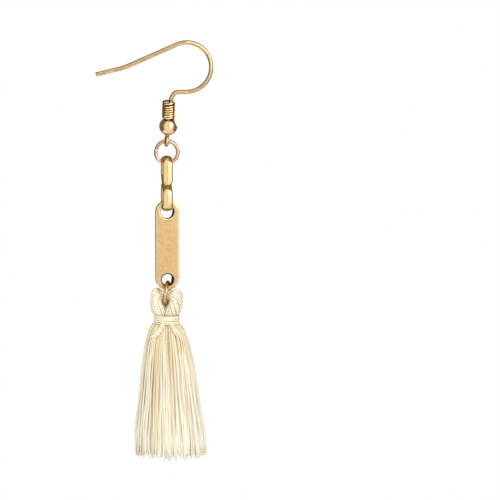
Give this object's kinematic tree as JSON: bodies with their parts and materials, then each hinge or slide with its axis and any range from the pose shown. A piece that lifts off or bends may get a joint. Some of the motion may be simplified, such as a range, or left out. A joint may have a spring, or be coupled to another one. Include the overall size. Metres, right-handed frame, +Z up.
{
  "type": "tassel drop earring",
  "caption": "Gold-toned drop earring with a fish-hook ear wire, coil and bead, S link, flat two-hole bar and a cotton thread tassel hung on jump rings.",
  "frame": {"origin": "the middle of the wire at the top of the hook, where it rests in the pierced ear", "axes": "+Z up, the drop hangs along -Z; X along the plane of the hook, with the long leg towards -X; Y from front to back, so the front faces -Y"},
  "size_m": [0.0195, 0.0098, 0.07],
  "materials": {
    "hook_metal": "polished gold plate on round wire",
    "coil_metal": "polished gold plate on fine wire",
    "bead_metal": "mirror-polished gold plate",
    "ring_metal": "polished rose gold plate",
    "link_metal": "polished pale gold plate",
    "bar_metal": "satin pale gold plate",
    "tassel_cotton": "matt twisted cotton thread, natural cream",
    "binding_cotton": "matt twisted cotton thread, natural cream"
  },
  "bodies": {
    "hook": {"ear_hook": "hook_metal", "hook_coil": "coil_metal", "hook_bead": "bead_metal"},
    "upper_ring": {"upper_ring": "ring_metal"},
    "s_link": {"s_link": "link_metal"},
    "bar": {"bar": "bar_metal"},
    "tassel": {"lower_ring": "ring_metal", "tassel": "tassel_cotton", "tassel_binding": "binding_cotton"}
  },
  "joints": [
    {"name": "upper_ring_swing", "type": "hinge", "parent": "hook", "child": "upper_ring", "pos_m": [-0.00313, 0.00175, -0.01716], "axis": [0, 1, 0], "range_deg": [-35, 35]},
    {"name": "s_link_swing", "type": "hinge", "parent": "upper_ring", "child": "s_link", "pos_m": [-0.00313, 0.00175, -0.02021], "axis": [1, 0, 0], "range_deg": [-50, 50]},
    {"name": "bar_swing", "type": "hinge", "parent": "s_link", "child": "bar", "pos_m": [-0.00313, 0.00175, -0.0265], "axis": [1, 0, 0], "range_deg": [-50, 50]},
    {"name": "tassel_swing", "type": "hinge", "parent": "bar", "child": "tassel", "pos_m": [-0.00313, 0.00175, -0.04021], "axis": [0.2756, 0.9613, 0], "range_deg": [-30, 30]}
  ]
}
